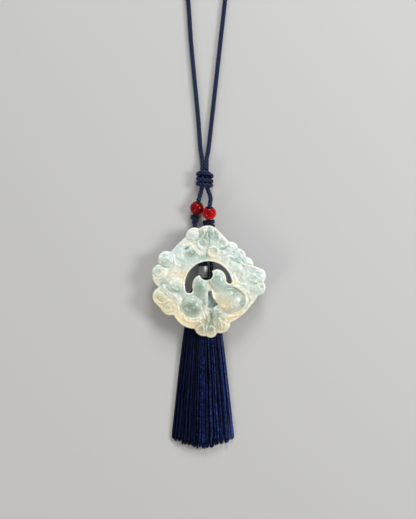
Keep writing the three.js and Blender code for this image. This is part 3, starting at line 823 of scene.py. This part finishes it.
ridges = np.zeros(len(plan))
for line in RIDGES:
    ridges = np.maximum(ridges, stroke(line, RIDGE_WIDTH))
cuts = np.zeros(len(plan))
for line in CUTS:
    cuts = np.maximum(cuts, stroke(line, CUT_WIDTH))
for x, y, radius in RINGS:
    middle = seen((x, y))
    away = np.hypot(plan[:, 0] - middle[0], plan[:, 1] - middle[1]) - radius * VIEW_PIXEL
    ridges = np.maximum(ridges, 0.6 * crest(away, RIDGE_WIDTH))
    cuts = np.maximum(cuts, 0.45 * crest(away - 0.8, CUT_WIDTH))
for x, y in DOTS:
    cuts = np.maximum(cuts, spot(x, y, *DOT_SIZE, 0))
on_gourd = np.zeros(len(plan))
for x, y, across, along in GOURDS:
    middle = seen((x, y))
    out = np.hypot((plan[:, 0] - middle[0]) / across, (plan[:, 1] - middle[1]) / along) / VIEW_PIXEL
    on_gourd = np.maximum(on_gourd, 1 / (1 + np.exp((out - 0.86) / 0.05)))
    cuts = np.maximum(cuts, 0.6 * crest((out - 1.0) * across * VIEW_PIXEL, 0.45) * (edge_distance > 1))
# The gourds stay smooth and round.
cuts *= 1 - on_gourd
ridges *= 1 - on_gourd
rim = crest(edge_distance - RIM_FROM_EDGE, RIM_WIDTH)
inner_rim = crest(edge_distance - GROOVE_FROM_EDGE, RIM_WIDTH)


WAVES_A_RIPPLE = 8
# Ripples of the worked surface: their size, the seed of their waves, and their share of the height
RIPPLES = [(3.4, 3, 0.42), (1.8, 5, 0.3), (1.1, 9, 0.16)]
# The slit in the left shoulder: its place, half-sizes and turn
SLIT = (187, 248.3, 5, 2.6, 28)


def ripple(size, seed):
    """Soft, irregular waves left by the carver's wheel."""
    phase = random.Random(seed)
    total = np.zeros(len(plan))
    for _ in range(WAVES_A_RIPPLE):
        angle = phase.uniform(0, math.pi)
        length = size * phase.uniform(0.6, 1.6)
        run = (plan[:, 0] * math.cos(angle) + plan[:, 1] * math.sin(angle)) / length
        across = (plan[:, 0] * math.sin(angle) - plan[:, 1] * math.cos(angle)) / (length * 1.7)
        bent = 1.5 * np.sin(across + phase.uniform(0, 6.3))
        total += np.sin(2 * math.pi * run + bent + phase.uniform(0, 6.3))
    return total / WAVES_A_RIPPLE


worked = sum(share * ripple(size, seed) for size, seed, share in RIPPLES)
worked *= (1 - on_gourd) * np.clip((edge_distance - 0.9) / 1.2, 0, 1) * (1 - 0.6 * ridges)
relief = RIDGE_HEIGHT * ridges - CUT_DEPTH * cuts
relief += RIM_HEIGHT * rim - RIM_GROOVE * inner_rim + RIPPLE_HEIGHT * worked
# The blank's swellings stand proud of the slab. All but the gourds are lowered to leave room for the lines.
relief -= np.clip(level - SLAB_LEVEL, 0, None) * (0.5 - 0.35 * on_gourd)
places[:, 2] += relief * facing_up * MM
# The slit is a shallow recess, so its floor is raised.
slit = (spot(*SLIT) > 0.35) & (level > 0.4)
places[slit, 2] = np.maximum(places[slit, 2], back_level + SLIT_FLOOR * MM)
places[:, 2] = np.clip(places[:, 2], plaque_low[2], plaque_high[2])
jade.data.vertices.foreach_set("co", places.ravel())
jade.data.update()
apply_modifier(jade, "SMOOTH", factor=0.3, iterations=1)
bpy.ops.object.shade_smooth()

# The stone's own colours, with painted shade among them in SHADE. Each list holds soft patches: place,
# half-sizes, turn and strength.
HONEY = [
    (206, 330, 20, 9, 0, 0.6), (164, 306, 14, 8, -25, 0.35), (236, 316, 14, 6, 38, 0.45),
    (158, 296, 8, 8, 0, 0.2), (175, 275, 12, 4.5, -5, 0.6), (229, 301, 9, 7, 0, 0.4),
    (184, 319, 11, 4.5, -35, 1.2), (165, 303, 13, 3.5, -20, 0.8), (156, 302, 5, 3, -35, 0.8),
    (215.5, 297, 3, 8, 20, 1.0), (225, 306, 4, 5, 0, 0.9), (212, 254.5, 4, 4, 0, 0.9),
    (237, 315, 9, 3.5, 38, 0.9), (204, 331, 9, 4.5, -15, 1.0), (210, 325, 8, 8, 0, 0.8),
    (222, 327, 6, 5, 0, 0.6), (160, 298, 6, 5, 0, 0.5), (240, 289.5, 9, 2, -35, 0.7),
    (188, 244, 5, 1.6, 15, 0.7), (157, 279, 4, 2.5, -20, 0.9), (193, 325, 10, 3.5, -15, 0.9),
    (222, 318, 8, 3.5, 0, 0.5), (201, 312, 3, 8, 5, 0.5), (234, 282, 3, 4, 0, 0.8),
    (192.5, 247, 1.6, 3.5, 0, 0.6), (208, 313, 6, 8, 0, 0.3), (250, 298, 5, 4, 0, 0.4),
    (183, 276, 2.5, 8, -10, 0.6), (167, 312, 7, 3.5, -30, 0.8), (209.5, 283, 2, 5, 0, 0.7),
    (220, 262, 8, 2, -28, 0.5), (211, 327, 15, 8, 0, 0.45), (169, 303, 13, 8, -20, 0.5),
]
MOSS = [
    (192.5, 307, 9, 8, 0, 1.25), (200.5, 288, 6, 9, 0, 1.15), (217, 280, 8, 7, 0, 0.95),
    (233, 291, 10, 4.5, -15, 1.1), (242, 302, 3, 5.5, 0, 1.0), (191.5, 253.5, 4.5, 3.5, 0, 1.25),
    (208.5, 236, 1.6, 9, 0, 0.8), (204, 257, 6, 2.5, 10, 0.9), (176, 290, 8, 4.5, -20, 0.7),
    (166, 281, 4, 3, 0, 0.5), (213, 315, 4.5, 5.5, 0, 1.1), (204.5, 234, 4, 6, 0, 0.75),
    (209, 326, 7, 7, 0, 0.45), (217.5, 316, 2.5, 4.5, 0, 0.8), (165, 262, 5, 4, 0, 0.45),
    (203, 244.5, 3.2, 3.2, 0, 0.7), (157.5, 271, 4, 3.5, 0, 0.6), (213, 234, 4.5, 5.5, -15, 0.9),
    (221, 241.5, 5, 2.5, -30, 0.6), (160, 298, 3.5, 2.5, 0, 0.5), (168.5, 307, 3.5, 2.5, 0, 0.6),
    (211, 326, 2.5, 7, 0, 0.8), (203, 327.5, 3, 2.5, 0, 0.7), (241, 252.5, 2, 3.5, -30, 0.5),
    (223.5, 249, 4, 1.3, 10, 0.8), (237, 261, 8, 2.5, -35, 0.4), (204, 303, 2, 4, 0, 0.9),
    (222.5, 322, 2.5, 5, 0, 0.4), (261, 286, 3, 2, 0, 0.5), (168, 290, 4, 3, 0, 0.4),
    (186, 262, 8, 4, 35, 0.25), (240, 275, 4, 3, 0, 0.25), (252, 283, 5, 2, 0, 0.3),
    (206, 320, 2, 5, 0, 0.5),
]
# Painted shade in the creases round the gourds and over the gourds' middles; elsewhere these patches darken
# the lobes, petals and bottom.
SHADE = [
    (256, 273, 9, 8, 0, 0.35), (162, 301, 12, 6, -20, 0.28), (162, 276, 8, 6, 0, 0.2),
    (200, 331, 6, 4, 0, 0.35), (237, 315, 8, 4, 38, 0.25), (176, 292, 9, 6, -20, 0.25),
    (180, 273, 10, 5, 0, 0.15), (223, 327, 7, 5, 0, 0.3), (213, 251, 5, 5, 0, 0.3),
    (208, 326, 15, 8, 0, 0.7), (207, 235, 10, 7, 0, 0.62), (215, 313, 9, 6, 0, 0.45),
    (191, 252, 6, 5, 0, 0.25), (230, 300, 12, 10, 0, 0.42), (192, 306, 9, 8, 0, 0.3),
    (216, 281, 8, 8, 0, 0.25), (209, 327, 6, 6, 0, 0.2), (196, 311, 4.5, 3, 0, 0.9),
    (190, 306, 3.5, 3, 0, 0.7), (204, 302, 1.5, 3, 0, 0.6), (211, 315, 2, 3, 0, 0.7),
    (211, 327, 14, 8, 0, 0.22), (169, 303, 13, 8, -20, 0.26), (211, 325, 2, 6, 0, 0.5),
    (235, 289.5, 6, 1.5, -15, 0.4), (243.5, 303.5, 1.3, 3.5, 0, 0.5), (200, 288, 2.5, 5, 0, 0.4),
    (200, 287, 6, 8, 0, 0.2),
]
SKY = [
    (187, 248.3, 5, 2.5, 28, 1.0), (238, 254, 14, 8, -40, 0.8), (177, 251, 9, 3.5, 45, 0.8),
    (255, 273, 7, 6, 0, 0.6), (165, 256, 5, 4, 0, 0.4), (214, 235, 6, 6, 0, 0.6),
    (221, 286, 5, 3.5, 0, 0.5), (231, 300, 5, 4, 0, 0.5), (190, 259, 6, 4, 20, 0.4),
]

places = vertex_values(jade, "co")
normals = vertex_values(jade, "normal")
plan = (places[:, :2] - np.array([plan_x, plan_y])) / MM
level = (places[:, 2] - back_level) / MM
# A recess's floor looks up from below the slab's face and is given painted shade, as are the deep creases
# and hollows. The clear edges and ridges are given painted light.
pocket_shade = np.clip((normals[:, 2] - 0.2) / 0.4, 0, 1) * np.clip((2.0 - level) / 0.5, 0, 1) * (level > 0.4)
paints = {
    "honey": sum(spot(*patch) for patch in HONEY),
    "moss": sum(spot(*patch) for patch in MOSS),
    "shade": sum(spot(*patch) for patch in SHADE),
    "pocket_shade": pocket_shade,
    "sky": sum(spot(*patch) for patch in SKY),
    # Painted light along the edges, where light would pass through thin stone, and on the ridges.
    "clear": np.maximum(crest(edge_distance, 0.55), 0.5 * ridges),
    # Painted shade in the cut lines, the groove inside the rim and the hollows of the worked surface.
    "deep": np.maximum(cuts, 0.3 * inner_rim) + np.clip(-worked * 1.6, 0, 0.6),
}
for name, weights in paints.items():
    jade.data.attributes.new(name, "FLOAT", "POINT").data.foreach_set("value", np.clip(weights, 0, 1))


def jade_material():
    """Milky stone, tinted by the painted patches from the widest tint to the finest, with painted shade in
    the creases and pockets and painted light on the edges and ridges, under a polish.
    """
    material, nodes, links, shader = new_material("icy jade")
    place = nodes.new("ShaderNodeTexCoord")

    def blend(amount, base, colour, factor=1.0):
        scaled = nodes.new("ShaderNodeMath")
        scaled.operation = "MULTIPLY"
        scaled.inputs[1].default_value = factor
        links.new(amount, scaled.inputs[0])
        mix = nodes.new("ShaderNodeMix")
        mix.data_type = "RGBA"
        links.new(scaled.outputs[0], mix.inputs["Factor"])
        if isinstance(base, tuple):
            mix.inputs["A"].default_value = base
        else:
            links.new(base, mix.inputs["A"])
        mix.inputs["B"].default_value = colour
        return mix.outputs["Result"]

    def painted(name):
        node = nodes.new("ShaderNodeAttribute")
        node.attribute_name = name
        return node.outputs["Fac"]

    def cloud(scale, distortion, low, high):
        noise = nodes.new("ShaderNodeTexNoise")
        noise.inputs["Scale"].default_value = scale
        noise.inputs["Detail"].default_value = 4
        noise.inputs["Distortion"].default_value = distortion
        links.new(place.outputs["Object"], noise.inputs["Vector"])
        spread = nodes.new("ShaderNodeMapRange")
        spread.inputs["From Min"].default_value = low
        spread.inputs["From Max"].default_value = high
        links.new(noise.outputs["Fac"], spread.inputs["Value"])
        return spread.outputs["Result"]

    colour = blend(cloud(210, 1.2, 0.4, 0.65), (0.62, 0.69, 0.62, 1), (0.86, 0.87, 0.8, 1))
    colour = blend(painted("sky"), colour, (0.58, 0.77, 0.79, 1), 0.75)
    colour = blend(painted("honey"), colour, (0.93, 0.77, 0.46, 1), 0.9)
    colour = blend(painted("moss"), colour, (0.2, 0.34, 0.27, 1), 0.78)
    # Painted shade: the shade patches, the deep creases and the pockets' floors darken the stone.
    colour = blend(painted("shade"), colour, (0.19, 0.21, 0.15, 1), 0.6)
    colour = blend(painted("deep"), colour, (0.38, 0.46, 0.35, 1), 0.4)
    colour = blend(painted("pocket_shade"), colour, (0.24, 0.35, 0.36, 1), 0.9)
    colour = blend(cloud(1150, 0.4, 0.5, 0.72), colour, (0.93, 0.95, 0.9, 1), 0.45)
    colour = blend(cloud(980, 0.4, 0.52, 0.75), colour, (0.36, 0.48, 0.4, 1), 0.35)
    # Painted light: the clear edges and ridges are lightened.
    colour = blend(painted("clear"), colour, (0.93, 0.91, 0.82, 1), 0.5)
    links.new(colour, shader.inputs["Base Color"])
    raised = nodes.new("ShaderNodeBump")
    raised.inputs["Strength"].default_value = 0.35
    raised.inputs["Distance"].default_value = 0.0002
    links.new(cloud(900, 0.3, 0.3, 0.7), raised.inputs["Height"])
    links.new(raised.outputs["Normal"], shader.inputs["Normal"])
    shader.inputs["Roughness"].default_value = 0.26
    shader.inputs["IOR"].default_value = 1.6
    shader.inputs["Subsurface Weight"].default_value = 0.85
    shader.inputs["Subsurface Radius"].default_value = (1.0, 0.85, 0.6)
    shader.inputs["Subsurface Scale"].default_value = 0.0016
    shader.inputs["Coat Weight"].default_value = 0.2
    shader.inputs["Coat Roughness"].default_value = 0.06
    return material


jade.data.materials.clear()
jade.data.materials.append(jade_material())
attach(jade, "root")
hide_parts("jade_plaque")


# Table: a plain pale top that the charm lies on, wider than any view of it. It is a hair's breadth lower
# than the charm, so that the two never share a face.
TABLE_SIZE = 6
TABLE_DROP = 0.00002


def table_material():
    """Matt and even, in a light grey."""
    material, _, _, shader = new_material("plain table")
    shader.inputs["Base Color"].default_value = (0.5, 0.5, 0.49, 1)
    shader.inputs["Roughness"].default_value = 0.9
    return material


bpy.ops.object.select_all(action="DESELECT")
bpy.ops.mesh.primitive_plane_add(size=TABLE_SIZE, location=(0, 0, -TABLE_DROP))
table = bpy.context.object
table.name = "table_top"
table.data.materials.append(table_material())


# Light: a soft lamp beyond the loop and one on the right, both white, a weaker warm one on the left by
# the tassel, and pale surroundings that fill the shadows.
def soft_lamp(name, place, size, power, colour):
    """A round lamp that points at the charm."""
    bpy.ops.object.light_add(type="AREA", location=place)
    lamp = bpy.context.object
    lamp.name = name
    lamp.data.shape = "DISK"
    lamp.data.size = size
    lamp.data.energy = power
    lamp.data.color = colour
    lamp.rotation_euler = (Vector((0, 0.02, 0)) - Vector(place)).to_track_quat("-Z", "Y").to_euler()


soft_lamp("window_above", (0.08, 0.62, 0.42), 0.3, 2.7, (1.0, 1.0, 1.0))
soft_lamp("window_on_the_right", (0.52, 0.1, 0.46), 0.24, 2.6, (1.0, 0.99, 0.97))
soft_lamp("lamp_low_on_the_left", (-0.45, -0.4, 0.4), 0.3, 1.5, (1.0, 0.9, 0.74))
surroundings = bpy.data.worlds.new("pale room")
surroundings.use_nodes = True
surroundings.node_tree.nodes["Background"].inputs["Color"].default_value = (0.9, 0.93, 1.0, 1)
surroundings.node_tree.nodes["Background"].inputs["Strength"].default_value = 0.42
bpy.context.scene.world = surroundings

bpy.context.scene.view_settings.view_transform = "Standard"
